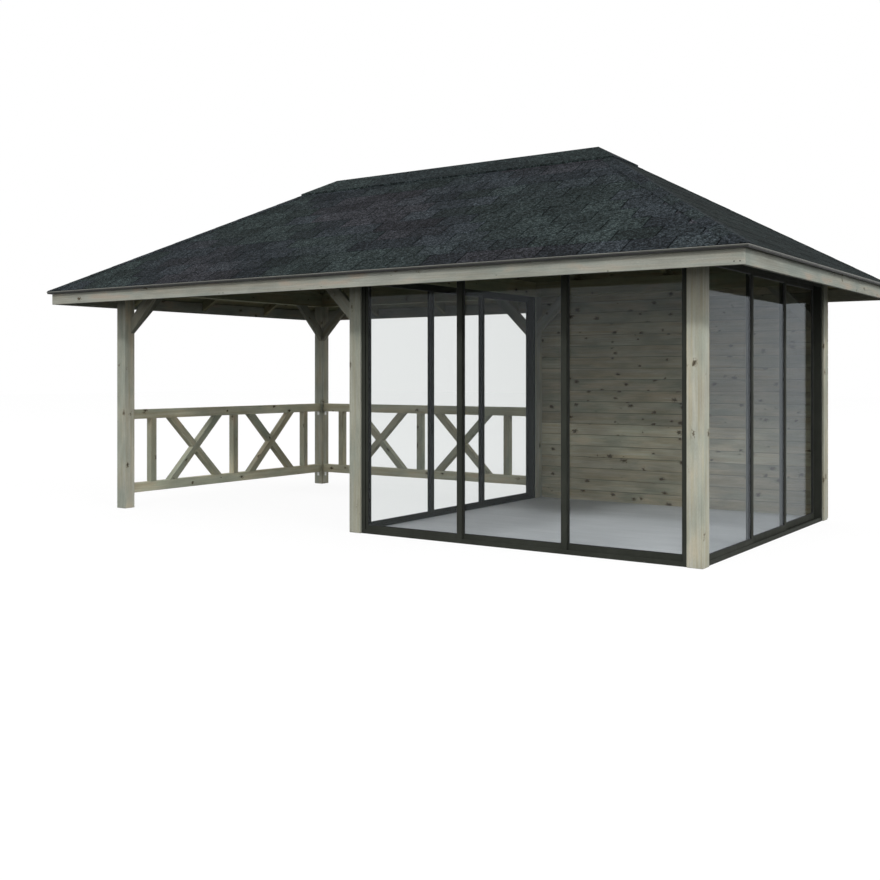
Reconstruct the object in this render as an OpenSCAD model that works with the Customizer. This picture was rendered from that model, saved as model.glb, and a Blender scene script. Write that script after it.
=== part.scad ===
// Garden gazebo: an open bay and a glazed room side by side under one hipped roof.
// Units are millimetres. X runs along the front from the open bay to the room, Y runs
// from front to back and Z rises from the ground. The origin is the centre of the plan.

/* [Posts] */
// Distance between post centres along the front
bay_length = 3000; // [2600:10:3600]
// Distance between post centres from front to back
plan_depth = 3000; // [2600:10:3600]
// Side of the square posts
post_size = 120; // [115:1:140]
// Height of the posts up to the underside of the beams
post_height = 2165; // [2100:5:2250]

/* [Knee braces] */
// Distance from the beams down to the foot of a brace
brace_drop = 418; // [320:1:480]
// Width of a brace across its length
brace_width = 106; // [80:1:120]
// Thickness of a brace
brace_thickness = 45; // [30:1:70]
// Distance that the braces stand back from the posts' inner faces
brace_inset = 3; // [2:1:15]

/* [Roof] */
// Slope of all four sides of the roof in degrees
roof_pitch = 30; // [28:0.5:32]
// Distance from the post centres to the outer face of the fascia
fascia_reach = 500; // [420:5:560]
// Distance from the outer face of the fascia to the edge of the shingles
shingle_reach = 35; // [20:1:50]
// Distance from the tops of the posts down to the roof's edge
eave_drop = 5; // [0:1:40]
// Thickness of the shingle layer, measured upright
shingle_rise = 10; // [6:1:14]
// Thickness of the roof boards, measured upright
board_rise = 21; // [16:1:26]
// Height of the raised cap above the shingles at the ridge
ridge_cap_rise = 17; // [10:1:25]
// Distance from the ridge to the lower edge of its cap, measured level
ridge_cap_reach = 262; // [180:1:320]
// Height of the hip caps above the shingles
hip_cap_rise = 8; // [4:1:10]
// Width of the hip caps across the hip, measured level
hip_cap_width = 170; // [120:1:220]

/* [Roof edge] */
// Height of the roof's edge above the fascia's lower edge
fascia_height = 130; // [90:1:180]
// Thickness of the fascia boards
fascia_thickness = 28; // [18:1:35]
// Height of the metal drip strip round the roof's edge
drip_height = 18; // [12:1:24]
// Thickness of the drip strip
drip_thickness = 4; // [2:1:5]

/* [Rafters] */
// Distance between neighbouring rafters
rafter_spacing = 1000; // [900:10:1100]
// Thickness of the rafters, the hip rafters and the ridge board
rafter_thickness = 45; // [35:1:60]
// Depth of the rafters, measured upright
rafter_rise = 105; // [90:1:120]
// Depth of the hip rafters and the ridge board, measured upright
hip_rise = 120; // [110:1:140]
// Depth of the notches that seat the rafters on the beams
seat_depth = 21; // [10:1:40]
// Height of the level cut under the rafter tails above the fascia's lower edge
tail_lift = 15; // [5:1:40]

/* [Balustrades] */
// Height of the lower rail's underside
lower_rail_foot = 145; // [80:1:180]
// Height of the upper rail's top
upper_rail_top = 982; // [900:1:1050]
// Height of each rail
rail_height = 95; // [70:1:110]
// Thickness of the rails, the uprights and the crossed bars
rail_thickness = 70; // [45:1:90]
// Clear gap between a post and the first upright
upright_gap = 237; // [150:1:300]
// Length of both legs of the angle brackets under the rails' ends
bracket_leg = 46; // [35:1:60]
// Width of those brackets
bracket_width = 30; // [20:1:40]
// Thickness of those brackets
bracket_thickness = 3; // [2:0.5:4]

/* [Room] */
// Thickness of the boards of the back wall
wall_thickness = 20; // [14:1:28]
// Height of the wall's lower edge above the ground
wall_foot_height = 10; // [0:1:18]
// Gap between the wall's upper edge and the hip rafters
wall_gap = 10; // [6:1:30]
// Thickness of the room's floor
floor_thickness = 20; // [10:1:30]

/* [Sliding doors] */
// Width of the jambs
jamb_width = 35; // [25:1:50]
// Thickness of the head and the sill
track_thickness = 15; // [10:1:20]
// Height of the lips that hide the leaves' upper and lower edges
lip_height = 20; // [12:1:28]
// Thickness of those lips
lip_thickness = 4; // [3:1:5]
// Gap between neighbouring leaves where they pass
leaf_gap = 6; // [5:0.5:10]
// Thickness of a leaf's frame
leaf_thickness = 20; // [16:1:30]
// Width of the stiles where two leaves lap
stile_width = 45; // [35:1:60]
// Width of the stiles beside the jambs
end_stile_width = 20; // [15:1:30]
// Height of a leaf's bottom rail
bottom_rail_height = 50; // [40:1:90]
// Height of a leaf's top rail
top_rail_height = 35; // [30:1:60]
// Gap between a leaf and whatever it slides past
leaf_clearance = 5; // [5:0.5:6]
// Width of the runners on the sill that carry the leaves
runner_width = 6; // [4:1:10]
// Gap between a leaf and its runner
running_gap = 0.3; // [0.2:0.1:0.5]
// Thickness of the glass
glass_thickness = 6; // [4:1:10]

/* [Hidden] */
half_post = post_size / 2;
half_depth = plan_depth / 2;
front_line = -half_depth;
back_line = half_depth;
post_places = [-bay_length, 0, bay_length];
slope = tan(roof_pitch);
fascia_half_length = bay_length + fascia_reach;
fascia_half_depth = half_depth + fascia_reach;
edge_half_length = fascia_half_length + shingle_reach;
edge_half_depth = fascia_half_depth + shingle_reach;
ridge_half = edge_half_length - edge_half_depth;
eave_height = post_height - eave_drop;
fascia_foot = eave_height - fascia_height;
tail_cut = fascia_foot + tail_lift;
ridge_height = eave_height + edge_half_depth * slope;
board_drop = shingle_rise + board_rise;
hip_foot = ridge_height - board_drop - hip_rise;
rafter_foot = ridge_height - board_drop - rafter_rise;
beam_top = rafter_foot - slope * (half_depth + half_post) + seat_depth;
wall_top = hip_foot - slope * (half_depth + half_post + wall_thickness) - wall_gap;
rafter_reach = fascia_half_depth - fascia_thickness;
rail_span = plan_depth - post_size;
back_rail_span = bay_length - post_size;
infill_foot = lower_rail_foot + rail_height;
infill_top = upper_rail_top - rail_height;
front_span = bay_length - post_size;
side_span = plan_depth - post_size;
plan_margin = 10;
track_pitch = leaf_thickness + leaf_gap;
door_frame_depth = 2 * (track_pitch + leaf_thickness / 2 + leaf_clearance + lip_thickness);
leaf_foot = track_thickness + leaf_clearance;
leaf_top = post_height - track_thickness - leaf_clearance;
timber = [0.55, 0.55, 0.49];
rail_timber = [0.46, 0.45, 0.38];
under_timber = [0.42, 0.42, 0.36];
bracket_grey = [0.66, 0.68, 0.68];
shingle_grey = [0.2, 0.22, 0.24];
drip_grey = [0.42, 0.43, 0.42];
frame_grey = [0.17, 0.18, 0.18];
floor_grey = [0.6, 0.61, 0.62];
glass_tint = [0.8, 0.88, 0.88, 0.35];

// A box from one corner to the opposite one
module block(low, high) {
    translate(low) cube(high - low);
}

// Everything below the roof's upper surface lowered by drop, ending inset inside its edge
module under_roof(drop, inset = 0) {
    half_d = edge_half_depth - inset;
    half_l = edge_half_length - inset;
    top = ridge_height - drop;
    eave = eave_height - drop + inset * slope;
    intersection() {
        rotate([90, 0, 90])
            linear_extrude(2 * half_l + 20, center = true)
                polygon([[-half_d, 0], [half_d, 0], [half_d, eave], [0, top], [-half_d, eave]]);
        rotate([90, 0, 0])
            linear_extrude(2 * half_d + 20, center = true)
                polygon([[-half_l, 0], [half_l, 0], [half_l, eave],
                         [ridge_half, top], [-ridge_half, top], [-half_l, eave]]);
    }
}

// A layer of the roof between two drops below its upper surface
module roof_layer(upper_drop, lower_drop) {
    difference() {
        under_roof(upper_drop);
        under_roof(lower_drop, -plan_margin);
    }
}

// The plan under one long slope: side is -1 for the front and 1 for the back
module long_slope_plan(side) {
    half_l = edge_half_length + plan_margin;
    half_d = edge_half_depth + plan_margin;
    linear_extrude(2 * ridge_height)
        polygon([[-half_l, side * half_d], [half_l, side * half_d], [ridge_half, 0], [-ridge_half, 0]]);
}

// The plan under one end slope: side is -1 for the left and 1 for the right
module end_slope_plan(side) {
    half_l = edge_half_length + plan_margin;
    half_d = edge_half_depth + plan_margin;
    linear_extrude(2 * ridge_height)
        polygon([[side * half_l, -half_d], [side * half_l, half_d], [side * ridge_half, 0]]);
}

// Its children once under each of the four hips, with X along the hip away from the ridge
module at_hips() {
    for (side = [-1, 1])
        for (end = [-1, 1])
            translate([side * ridge_half, 0, 0])
                rotate([0, 0, atan2(end, side)])
                    children();
}

// A row of three posts
module posts(line) {
    color(timber)
        for (place = post_places)
            block([place - half_post, line - half_post, 0],
                  [place + half_post, line + half_post, post_height]);
}

module front_posts() {
    posts(front_line);
}

module back_posts() {
    posts(back_line);
}

// A beam over a row of posts
module long_beam(line) {
    color(under_timber)
        block([-bay_length - half_post, line - half_post, post_height],
              [bay_length + half_post, line + half_post, beam_top]);
}

module front_beam() {
    long_beam(front_line);
}

module back_beam() {
    long_beam(back_line);
}

module cross_beams() {
    color(under_timber)
        for (place = post_places)
            block([place - half_post, front_line + half_post, post_height],
                  [place + half_post, back_line - half_post, beam_top]);
}

// A brace that leaves a post at the origin along +X: side is 1 near its +Y face and -1 near its -Y face
module brace(side) {
    foot = post_height - brace_drop;
    cut = brace_width * sqrt(2);
    translate([half_post, side * (half_post - brace_inset - brace_thickness / 2), 0])
        rotate([90, 0, 0])
            linear_extrude(brace_thickness, center = true)
                polygon([[0, foot], [brace_drop, post_height],
                         [brace_drop - cut, post_height], [0, foot + cut]]);
}

module knee_braces() {
    color(timber) {
        translate([-bay_length, front_line, 0]) brace(1);
        translate([-bay_length, front_line, 0]) rotate([0, 0, 90]) brace(-1);
        translate([0, front_line, 0]) rotate([0, 0, 180]) brace(-1);
        translate([-bay_length, back_line, 0]) rotate([0, 0, -90]) brace(1);
        for (place = [-bay_length, 0])
            translate([place, back_line, 0]) brace(-1);
        for (place = [0, bay_length])
            translate([place, back_line, 0]) rotate([0, 0, 180]) brace(1);
    }
}

// The upright slab along the ridge line that holds the ridge board
module ridge_slab(foot) {
    reach = ridge_half + 2 * rafter_thickness;
    block([-reach, -rafter_thickness / 2, foot], [reach, rafter_thickness / 2, ridge_height]);
}

module ridge_board() {
    color(under_timber)
        intersection() {
            under_roof(board_drop);
            ridge_slab(hip_foot);
        }
}

// The four beams round the outside, for the notches in the rafters
module beam_ring() {
    difference() {
        block([-bay_length - half_post, front_line - half_post, 0],
              [bay_length + half_post, back_line + half_post, beam_top]);
        block([-bay_length + half_post, front_line + half_post, -1],
              [bay_length - half_post, back_line - half_post, beam_top + 1]);
    }
}

// Everything below the level cut under the rafter tails
module below_tails() {
    block([-edge_half_length, -edge_half_depth, 0], [edge_half_length, edge_half_depth, tail_cut]);
}

module hip_rafters() {
    reach = rafter_reach * sqrt(2);
    top = ridge_height - board_drop;
    color(under_timber)
        difference() {
            intersection() {
                under_roof(board_drop, shingle_reach + fascia_thickness);
                at_hips()
                    rotate([90, 0, 0])
                        linear_extrude(rafter_thickness, center = true)
                            polygon([[0, hip_foot], [reach, hip_foot - slope * rafter_reach],
                                     [reach, top], [0, top]]);
            }
            beam_ring();
            below_tails();
            ridge_slab(0);
        }
}

// A rafter running from the ridge line at the origin down along -Y
module rafter() {
    top = ridge_height - board_drop;
    head = rafter_thickness / 2;
    rotate([90, 0, 90])
        linear_extrude(rafter_thickness, center = true)
            polygon([[-head, top - slope * head],
                     [-rafter_reach, top - slope * rafter_reach],
                     [-rafter_reach, rafter_foot - slope * rafter_reach],
                     [-head, rafter_foot - slope * head]]);
}

// The rafters under the front slope, the outer ones running from the hips
module long_slope_rafters() {
    intersection() {
        long_slope_plan(-1);
        for (place = [-2.5:1:2.5])
            translate([place * rafter_spacing, 0, 0]) rafter();
    }
}

// The rafters under the right slope, one running from the ridge board and the others from the hips
module end_slope_rafters() {
    intersection() {
        end_slope_plan(1);
        for (place = [-1:1:1])
            translate([ridge_half, place * rafter_spacing, 0]) rotate([0, 0, 90]) rafter();
    }
}

module rafters() {
    color(under_timber)
        difference() {
            for (turn = [0, 180])
                rotate([0, 0, turn]) {
                    long_slope_rafters();
                    end_slope_rafters();
                }
            at_hips()
                block([0, -rafter_thickness / 2, 0],
                      [2 * edge_half_depth, rafter_thickness / 2, ridge_height]);
            ridge_slab(0);
            beam_ring();
            below_tails();
        }
}

// One long slope's boards or shingles
module long_slope(side, upper_drop, lower_drop) {
    intersection() {
        roof_layer(upper_drop, lower_drop);
        long_slope_plan(side);
    }
}

// One end slope's boards or shingles
module end_slope(side, upper_drop, lower_drop) {
    intersection() {
        roof_layer(upper_drop, lower_drop);
        end_slope_plan(side);
    }
}

module front_roof_boards() {
    color(under_timber) long_slope(-1, shingle_rise, board_drop);
}

module back_roof_boards() {
    color(under_timber) long_slope(1, shingle_rise, board_drop);
}

module left_roof_boards() {
    color(under_timber) end_slope(-1, shingle_rise, board_drop);
}

module right_roof_boards() {
    color(under_timber) end_slope(1, shingle_rise, board_drop);
}

module front_shingles() {
    color(shingle_grey) long_slope(-1, 0, shingle_rise);
}

module back_shingles() {
    color(shingle_grey) long_slope(1, 0, shingle_rise);
}

module left_shingles() {
    color(shingle_grey) end_slope(-1, 0, shingle_rise);
}

module right_shingles() {
    color(shingle_grey) end_slope(1, 0, shingle_rise);
}

module ridge_cap() {
    color(shingle_grey)
        intersection() {
            roof_layer(-ridge_cap_rise, 0);
            block([-ridge_half - ridge_cap_reach, -ridge_cap_reach, 0],
                  [ridge_half + ridge_cap_reach, ridge_cap_reach, 2 * ridge_height]);
        }
}

module hip_caps() {
    color(shingle_grey)
        difference() {
            intersection() {
                roof_layer(-hip_cap_rise, 0);
                at_hips()
                    block([0, -hip_cap_width / 2, 0], [2 * edge_half_depth, hip_cap_width / 2, ridge_height]);
            }
            block([-ridge_half - ridge_cap_reach, -ridge_cap_reach, 0],
                  [ridge_half + ridge_cap_reach, ridge_cap_reach, 2 * ridge_height]);
        }
}

// A fascia board between two plan corners, cut off under the roof boards
module fascia(low, high) {
    color(timber)
        intersection() {
            under_roof(board_drop);
            block([low.x, low.y, fascia_foot], [high.x, high.y, ridge_height]);
        }
}

module front_fascia() {
    fascia([-fascia_half_length, -fascia_half_depth], [fascia_half_length, -rafter_reach]);
}

module back_fascia() {
    fascia([-fascia_half_length, rafter_reach], [fascia_half_length, fascia_half_depth]);
}

module side_fascias() {
    inner = fascia_half_length - fascia_thickness;
    fascia([-fascia_half_length, -rafter_reach], [-inner, rafter_reach]);
    fascia([inner, -rafter_reach], [fascia_half_length, rafter_reach]);
}

module drip_strip() {
    edge = 2 * [edge_half_length, edge_half_depth];
    lap = 2 * [drip_thickness, drip_thickness];
    color(drip_grey)
        translate([0, 0, eave_height - drip_height])
            linear_extrude(drip_height)
                difference() {
                    square(edge + lap, center = true);
                    square(edge, center = true);
                }
}

// Both rails of a balustrade centred on the origin along X
module rails(span) {
    color(rail_timber)
        for (foot = [lower_rail_foot, infill_top])
            block([-span / 2, -rail_thickness / 2, foot], [span / 2, rail_thickness / 2, foot + rail_height]);
}

// The uprights and the crossed bars between the rails
module infill(span) {
    first = span / 2 - upright_gap - rail_thickness / 2;
    half_height = (infill_top - infill_foot) / 2;
    half_cut = rail_thickness / sqrt(2);
    color(rail_timber) {
        for (place = [-first, 0, first])
            block([place - rail_thickness / 2, -rail_thickness / 2, infill_foot],
                  [place + rail_thickness / 2, rail_thickness / 2, infill_top]);
        for (side = [-1, 1])
            translate([side * first / 2, 0, infill_foot + half_height])
                rotate([90, 0, 0])
                    linear_extrude(rail_thickness, center = true)
                        for (lean = [-1, 1])
                            polygon([[-lean * half_height - half_cut, -half_height],
                                     [-lean * half_height + half_cut, -half_height],
                                     [lean * half_height + half_cut, half_height],
                                     [lean * half_height - half_cut, half_height]]);
    }
}

// The angle brackets under both ends of both rails
module brackets(span) {
    color(bracket_grey)
        for (end = [0, 1])
            mirror([end, 0, 0])
                for (foot = [lower_rail_foot, infill_top])
                    translate([-span / 2, 0, foot])
                        rotate([90, 0, 0])
                            linear_extrude(bracket_width, center = true)
                                polygon([[0, 0], [0, -bracket_leg], [bracket_thickness, -bracket_leg],
                                         [bracket_thickness, -bracket_thickness],
                                         [bracket_leg, -bracket_thickness], [bracket_leg, 0]]);
}

// Its children turned into the left end of the open bay
module at_left_end() {
    translate([-bay_length, 0, 0]) rotate([0, 0, 90]) children();
}

// Its children moved to the back of the open bay
module at_bay_back() {
    translate([-bay_length / 2, back_line, 0]) children();
}

module left_rails() {
    at_left_end() rails(rail_span);
}

module left_infill() {
    at_left_end() infill(rail_span);
}

module back_rails() {
    at_bay_back() rails(back_rail_span);
}

module back_infill() {
    at_bay_back() infill(back_rail_span);
}

module rail_brackets() {
    at_left_end() brackets(rail_span);
    at_bay_back() brackets(back_rail_span);
}

module back_wall() {
    inner = back_line + half_post;
    color(timber)
        block([-half_post, inner, wall_foot_height],
              [bay_length + half_post, inner + wall_thickness, wall_top]);
}

module room_floor() {
    inset = door_frame_depth / 2;
    color(floor_grey)
        difference() {
            block([inset, front_line + inset, 0],
                  [bay_length - inset, back_line + half_post, floor_thickness]);
            for (place = [0, bay_length])
                for (line = [front_line, back_line])
                    block([place - half_post, line - half_post, -1],
                          [place + half_post, line + half_post, floor_thickness + 1]);
        }
}

// The upright sides of a door set that starts at the origin and runs along X
module jambs(span) {
    color(frame_grey)
        for (place = [0, span - jamb_width])
            block([place, -door_frame_depth / 2, track_thickness],
                  [place + jamb_width, door_frame_depth / 2, post_height - track_thickness]);
}

// The sill and the head of a door set, each with a lip along both faces
module tracks(span) {
    face = door_frame_depth / 2;
    color(frame_grey) {
        for (turn = [0, 1])
            translate([0, 0, turn * post_height])
                mirror([0, 0, turn]) {
                    block([0, -face, 0], [span, face, track_thickness]);
                    for (side = [-1, 1])
                        translate([0, side * (face - lip_thickness / 2), 0])
                            block([jamb_width, -lip_thickness / 2, 0],
                                  [span - jamb_width, lip_thickness / 2, track_thickness + lip_height]);
                }
        for (track = [-1, 0, 1])
            translate([0, track * track_pitch, 0])
                block([jamb_width, -runner_width / 2, 0],
                      [span - jamb_width, runner_width / 2, leaf_foot - running_gap]);
    }
}

// Width of one of the three leaves, which lap by a stile's width
function leaf_width(span) = (span - 2 * (jamb_width + leaf_clearance) + 2 * stile_width) / 3;

// Distance along the door set at which a leaf starts when the doors are closed
function leaf_start(span, leaf) = jamb_width + leaf_clearance + leaf * (leaf_width(span) - stile_width);

// Its children in the place of a leaf: leaf 0 runs in the outermost track and leaf 2 in the innermost
module at_leaf(span, leaf) {
    translate([leaf_start(span, leaf), (leaf - 1) * track_pitch, 0]) children();
}

// Width of a leaf's stile towards the start of the door set
function near_stile(leaf) = leaf == 0 ? end_stile_width : stile_width;

// Width of a leaf's stile towards the end of the door set
function far_stile(leaf) = leaf == 2 ? end_stile_width : stile_width;

// The four bars round a leaf's glass
module leaf_frame(span, leaf) {
    width = leaf_width(span);
    half = leaf_thickness / 2;
    color(frame_grey)
        at_leaf(span, leaf)
            difference() {
                block([0, -half, leaf_foot], [width, half, leaf_top]);
                block([near_stile(leaf), -half - 1, leaf_foot + bottom_rail_height],
                      [width - far_stile(leaf), half + 1, leaf_top - top_rail_height]);
            }
}

// The glass of a leaf
module leaf_glass(span, leaf) {
    width = leaf_width(span);
    half = glass_thickness / 2;
    color(glass_tint)
        at_leaf(span, leaf)
            block([near_stile(leaf), -half, leaf_foot + bottom_rail_height],
                  [width - far_stile(leaf), half, leaf_top - top_rail_height]);
}

// Its children in the front of the room
module at_front() {
    translate([half_post, front_line, 0]) children();
}

// Its children turned into the partition between the room and the open bay
module at_partition() {
    translate([0, front_line + half_post, 0]) rotate([0, 0, 90]) children();
}

// Its children turned into the right end of the room
module at_right_end() {
    translate([bay_length, front_line + half_post, 0]) rotate([0, 0, 90]) children();
}

module front_jambs() {
    at_front() jambs(front_span);
}

module front_tracks() {
    at_front() tracks(front_span);
}

module front_leaf_1_frame() {
    at_front() leaf_frame(front_span, 0);
}

module front_leaf_1_glass() {
    at_front() leaf_glass(front_span, 0);
}

module front_leaf_2_frame() {
    at_front() leaf_frame(front_span, 1);
}

module front_leaf_2_glass() {
    at_front() leaf_glass(front_span, 1);
}

module front_leaf_3_frame() {
    at_front() leaf_frame(front_span, 2);
}

module front_leaf_3_glass() {
    at_front() leaf_glass(front_span, 2);
}

module partition_jambs() {
    at_partition() jambs(side_span);
}

module partition_tracks() {
    at_partition() tracks(side_span);
}

module partition_leaf_1_frame() {
    at_partition() leaf_frame(side_span, 0);
}

module partition_leaf_1_glass() {
    at_partition() leaf_glass(side_span, 0);
}

module partition_leaf_2_frame() {
    at_partition() leaf_frame(side_span, 1);
}

module partition_leaf_2_glass() {
    at_partition() leaf_glass(side_span, 1);
}

module partition_leaf_3_frame() {
    at_partition() leaf_frame(side_span, 2);
}

module partition_leaf_3_glass() {
    at_partition() leaf_glass(side_span, 2);
}

module right_jambs() {
    at_right_end() jambs(side_span);
}

module right_tracks() {
    at_right_end() tracks(side_span);
}

module right_leaf_1_frame() {
    at_right_end() leaf_frame(side_span, 0);
}

module right_leaf_1_glass() {
    at_right_end() leaf_glass(side_span, 0);
}

module right_leaf_2_frame() {
    at_right_end() leaf_frame(side_span, 1);
}

module right_leaf_2_glass() {
    at_right_end() leaf_glass(side_span, 1);
}

module right_leaf_3_frame() {
    at_right_end() leaf_frame(side_span, 2);
}

module right_leaf_3_glass() {
    at_right_end() leaf_glass(side_span, 2);
}

front_posts();
back_posts();
front_beam();
back_beam();
cross_beams();
knee_braces();
ridge_board();
hip_rafters();
rafters();
front_roof_boards();
back_roof_boards();
left_roof_boards();
right_roof_boards();
front_shingles();
back_shingles();
left_shingles();
right_shingles();
ridge_cap();
hip_caps();
front_fascia();
back_fascia();
side_fascias();
drip_strip();
left_rails();
left_infill();
back_rails();
back_infill();
rail_brackets();
back_wall();
room_floor();
front_jambs();
front_tracks();
front_leaf_1_frame();
front_leaf_1_glass();
front_leaf_2_frame();
front_leaf_2_glass();
front_leaf_3_frame();
front_leaf_3_glass();
partition_jambs();
partition_tracks();
partition_leaf_1_frame();
partition_leaf_1_glass();
partition_leaf_2_frame();
partition_leaf_2_glass();
partition_leaf_3_frame();
partition_leaf_3_glass();
right_jambs();
right_tracks();
right_leaf_1_frame();
right_leaf_1_glass();
right_leaf_2_frame();
right_leaf_2_glass();
right_leaf_3_frame();
right_leaf_3_glass();
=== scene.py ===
"""Looks of a garden gazebo: an open bay and a glazed room under one hipped roof.

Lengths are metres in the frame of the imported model: X runs along the front from the open bay
to the room, Y runs from front to back and Z rises from the ground.
"""

import math

import bpy
import numpy as np
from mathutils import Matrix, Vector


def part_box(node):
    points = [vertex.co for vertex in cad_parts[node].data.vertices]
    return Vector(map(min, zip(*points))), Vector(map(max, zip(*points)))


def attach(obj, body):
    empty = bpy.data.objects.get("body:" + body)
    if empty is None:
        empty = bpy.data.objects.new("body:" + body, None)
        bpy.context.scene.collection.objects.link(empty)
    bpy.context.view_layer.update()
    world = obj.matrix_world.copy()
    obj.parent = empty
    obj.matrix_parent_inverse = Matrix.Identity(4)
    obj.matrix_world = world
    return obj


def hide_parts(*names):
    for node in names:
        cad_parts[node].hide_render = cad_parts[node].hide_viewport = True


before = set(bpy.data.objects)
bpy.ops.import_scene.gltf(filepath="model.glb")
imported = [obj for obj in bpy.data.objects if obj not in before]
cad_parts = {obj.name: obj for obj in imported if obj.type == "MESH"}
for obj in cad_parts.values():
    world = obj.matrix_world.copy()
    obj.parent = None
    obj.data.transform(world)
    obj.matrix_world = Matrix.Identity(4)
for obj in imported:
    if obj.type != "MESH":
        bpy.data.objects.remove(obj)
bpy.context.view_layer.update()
scene = bpy.context.scene
rng = np.random.default_rng(17)

X, Y, Z = np.eye(3)


def corners(node):
    """Lowest and highest corner of a node, as arrays."""
    low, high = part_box(node)
    return np.array(low), np.array(high)


# Sizes that follow from the frame
posts_low, posts_high = corners("front_posts")
POST = posts_high[1] - posts_low[1]
POST_TOP = posts_high[2]
BAY = posts_high[0] - POST / 2
FRONT_LINE = (posts_low[1] + posts_high[1]) / 2
BACK_LINE = -FRONT_LINE
POST_PLACES = np.array([-BAY, 0.0, BAY])
BEAM_TOP = corners("front_beam")[1][2]
shingles_low, shingles_high = corners("front_shingles")
EDGE_X = shingles_high[0]
EDGE_Y = -shingles_low[1]
RIDGE_Z = shingles_high[2]
RIDGE_HALF = EDGE_X - EDGE_Y
fascia_low, fascia_high = corners("front_fascia")
FASCIA_X = fascia_high[0]
FASCIA_Y = -fascia_low[1]
FASCIA_FOOT = fascia_low[2]
FASCIA_THICKNESS = fascia_high[1] - fascia_low[1]
RAFTER_REACH = FASCIA_Y - FASCIA_THICKNESS

# Sizes of the timber frame
ROOF_PITCH = math.radians(30)
SLOPE = math.tan(ROOF_PITCH)
BRACE_DROP = 0.418
BRACE_WIDTH = 0.106
BRACE_THICKNESS = 0.045
BRACE_INSET = 0.003
RAFTER_THICKNESS = 0.045
RAFTER_RISE = 0.105
RAFTER_SPACING = 1.0
HIP_RISE = 0.120
EDGE_ROUND = 0.003

# The most that a piece's grain is shifted along, across and through it, and tones drawn at random
LOG_SHIFT = np.array([40.0, 0.07, 0.07])
PLAIN_TONES = (0.35, 0.65)

# Layers of the roof, measured upright from the shingles' upper surface
SHINGLE_RISE = 0.010
BOARD_RISE = 0.021
BOARD_DROP = SHINGLE_RISE + BOARD_RISE
ROOF_BOARD_PITCH = 0.096
COURSE = 0.1735
HEADLAP = 0.030
TAB_WIDTH = 0.333
TAB_SLOT = 0.012
TAB_THICKNESS = 0.0022
TAB_LEAN = 0.0022
UNDERLAY_DROP = 0.0049
HIP_CAP_HALF = 0.085
HIP_CAP_STEP = 0.205
HIP_CAP_RISE = 0.0030
RIDGE_CAP_REACH = 0.262
RIDGE_CAP_RISE = 0.017
RIDGE_CAP_LENGTH = 1.0

# Sizes of the balustrades, the wall and the floor
RAIL_HEIGHT = 0.095
RAIL_THICKNESS = 0.070
UPRIGHT_GAP = 0.237
BRACKET_LEG = 0.046
BRACKET_WIDTH = 0.030
BRACKET_THICKNESS = 0.003
WALL_BOARD = 0.116
LEAST_BOARD = 0.02
WALL_JOINT = 0.005
FLOOR_BOARD = 0.145
FLOOR_ROUND = 0.0018

# Sizes of the sliding doors
FRAME_ROUND = 0.002
JAMB_WIDTH = 0.035
GASKET_WIDTH = 0.005
GASKET_DEPTH = 0.013
GASKET_ROUND = 0.0015
TRACK_THICKNESS = 0.015
LIP_HEIGHT = 0.020
LIP_THICKNESS = 0.004
TRACK_PITCH = 0.026
RUNNER_WIDTH = 0.006
RUNNER_TOP = 0.0197


def rounded_profile(half_width, half_height, radius):
    """Twelve (across, up) points round a rectangle whose corners are quarter circles."""
    quarter = np.radians([0.0, 45.0, 90.0])
    turn = (np.radians([0.0, 90.0, 180.0, 270.0])[:, None] + quarter).ravel()
    side = np.repeat([[1, 1], [-1, 1], [-1, -1], [1, -1]], 3, axis=0)
    middle = side * [half_width - radius, half_height - radius]
    return middle + radius * np.column_stack([np.cos(turn), np.sin(turn)])


def facing_out(rings):
    """The rings with their points in the order that turns every face outwards.

    A ring's area vector, the sum of the cross products of neighbouring points, has to point
    the way that the rings run.
    """
    area = np.cross(rings, np.roll(rings, -1, axis=2)).sum(axis=(1, 2))
    run = rings[:, -1].mean(axis=1) - rings[:, 0].mean(axis=1)
    backwards = np.einsum("bk,bk->b", area, run) < 0
    return np.where(backwards[:, None, None, None], rings[:, :, ::-1], rings)


def for_each(count, value):
    """One value for each piece, from one value for all of them or from values for each."""
    return np.full(count, value) if np.ndim(value) == 0 else value


def stack(rings, axis, across, hue=None, tone=None):
    """A set of lofted pieces: rings[piece, station, point], their grain and their colouring.

    The grain is each point's distance along the piece, across it and through it, shifted by a
    random amount for each piece, so that no two pieces are cut from the same log.
    """
    count = len(rings)
    rings = facing_out(rings)
    axis = np.broadcast_to(axis, (count, 3))
    across = np.broadcast_to(across, (count, 3))
    through = np.cross(axis, across)
    from_start = rings - rings[:, :1].mean(axis=2, keepdims=True)
    along_grain = [np.einsum("bspk,bk->bsp", from_start, way) for way in (axis, across, through)]
    shift = rng.uniform(-1.0, 1.0, (count, 1, 1, 3)) * LOG_SHIFT
    return {
        "rings": rings,
        "grain": np.stack(along_grain, axis=-1) + shift,
        "hue": rng.uniform(0.0, 1.0, count) if hue is None else for_each(count, hue),
        "tone": rng.uniform(*PLAIN_TONES, count) if tone is None else for_each(count, tone),
    }


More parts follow.
